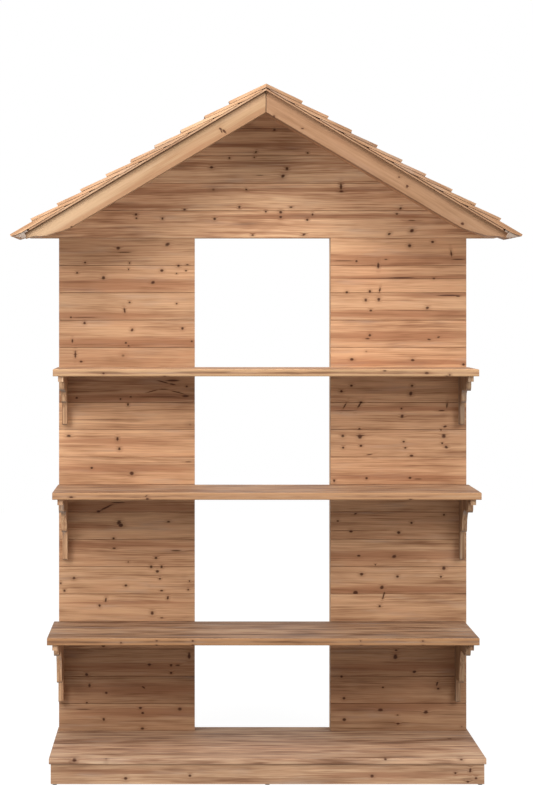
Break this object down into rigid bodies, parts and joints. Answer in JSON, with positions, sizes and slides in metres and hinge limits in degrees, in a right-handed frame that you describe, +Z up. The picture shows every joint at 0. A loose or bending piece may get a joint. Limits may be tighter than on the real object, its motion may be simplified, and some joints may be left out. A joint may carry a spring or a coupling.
{
  "type": "house shaped bookcase",
  "caption": "Open wooden bookcase in the shape of a house front, with boarded walls, bracketed shelves and a projecting shingled roof.",
  "frame": {"origin": "on the floor, below the middle of the overall width and depth", "axes": "+X to the viewer's right, +Y from the front to the back, +Z up"},
  "size_m": [1.478, 0.4124, 1.9964],
  "materials": {
    "wall_boards": "oiled reclaimed softwood, satin",
    "frame_timber": "planed softwood, matt",
    "deck_boards": "oiled reclaimed softwood, satin",
    "base_boards": "oiled reclaimed softwood, satin",
    "shelf_boards": "oiled softwood, satin",
    "brackets": "oiled softwood, satin",
    "roof_frame": "oiled softwood, satin",
    "soffits": "oiled softwood, satin",
    "roof_deck": "planed softwood, matt",
    "eave_strips": "weathered end grain, matt",
    "shingles": "split softwood, matt",
    "screws": "brushed",
    "glides": "matt"
  },
  "bodies": {
    "root": {"base_front_board": "base_boards", "base_back_board": "base_boards", "base_left_board": "base_boards", "base_right_board": "base_boards", "base_joists": "frame_timber", "deck_board_1": "deck_boards", "deck_board_2": "deck_boards", "deck_board_3": "deck_boards", "deck_board_4": "deck_boards", "deck_board_5": "deck_boards", "floor_glides": "glides", "left_wall_boards": "wall_boards", "right_wall_boards": "wall_boards", "left_outer_stud": "frame_timber", "left_inner_stud": "frame_timber", "right_inner_stud": "frame_timber", "right_outer_stud": "frame_timber", "left_wall_rails": "frame_timber", "right_wall_rails": "frame_timber", "shelf_1": "shelf_boards", "shelf_2": "shelf_boards", "shelf_3": "shelf_boards", "shelf_screws": "screws", "left_bracket_1": "brackets", "left_bracket_2": "brackets", "left_bracket_3": "brackets", "right_bracket_1": "brackets", "right_bracket_2": "brackets", "right_bracket_3": "brackets", "bracket_screws": "screws", "gable_board_1": "wall_boards", "gable_board_2": "wall_boards", "gable_board_3": "wall_boards", "gable_board_4": "wall_boards", "gable_board_5": "wall_boards", "gable_tie": "frame_timber", "king_post": "frame_timber", "left_rear_rafter": "frame_timber", "right_rear_rafter": "frame_timber", "left_barge_rafter": "roof_frame", "right_barge_rafter": "roof_frame", "left_soffit": "soffits", "right_soffit": "soffits", "left_eave_block": "roof_frame", "right_eave_block": "roof_frame", "roof_bearers": "frame_timber", "left_roof_deck": "roof_deck", "right_roof_deck": "roof_deck", "left_eave_strip": "eave_strips", "right_eave_strip": "eave_strips", "shingle_course_1": "shingles", "shingle_course_2": "shingles", "shingle_course_3": "shingles", "shingle_course_4": "shingles", "shingle_course_5": "shingles", "shingle_course_6": "shingles", "shingle_course_7": "shingles", "shingle_course_8": "shingles", "shingle_course_9": "shingles", "shingle_course_10": "shingles"}
  },
  "joints": []
}
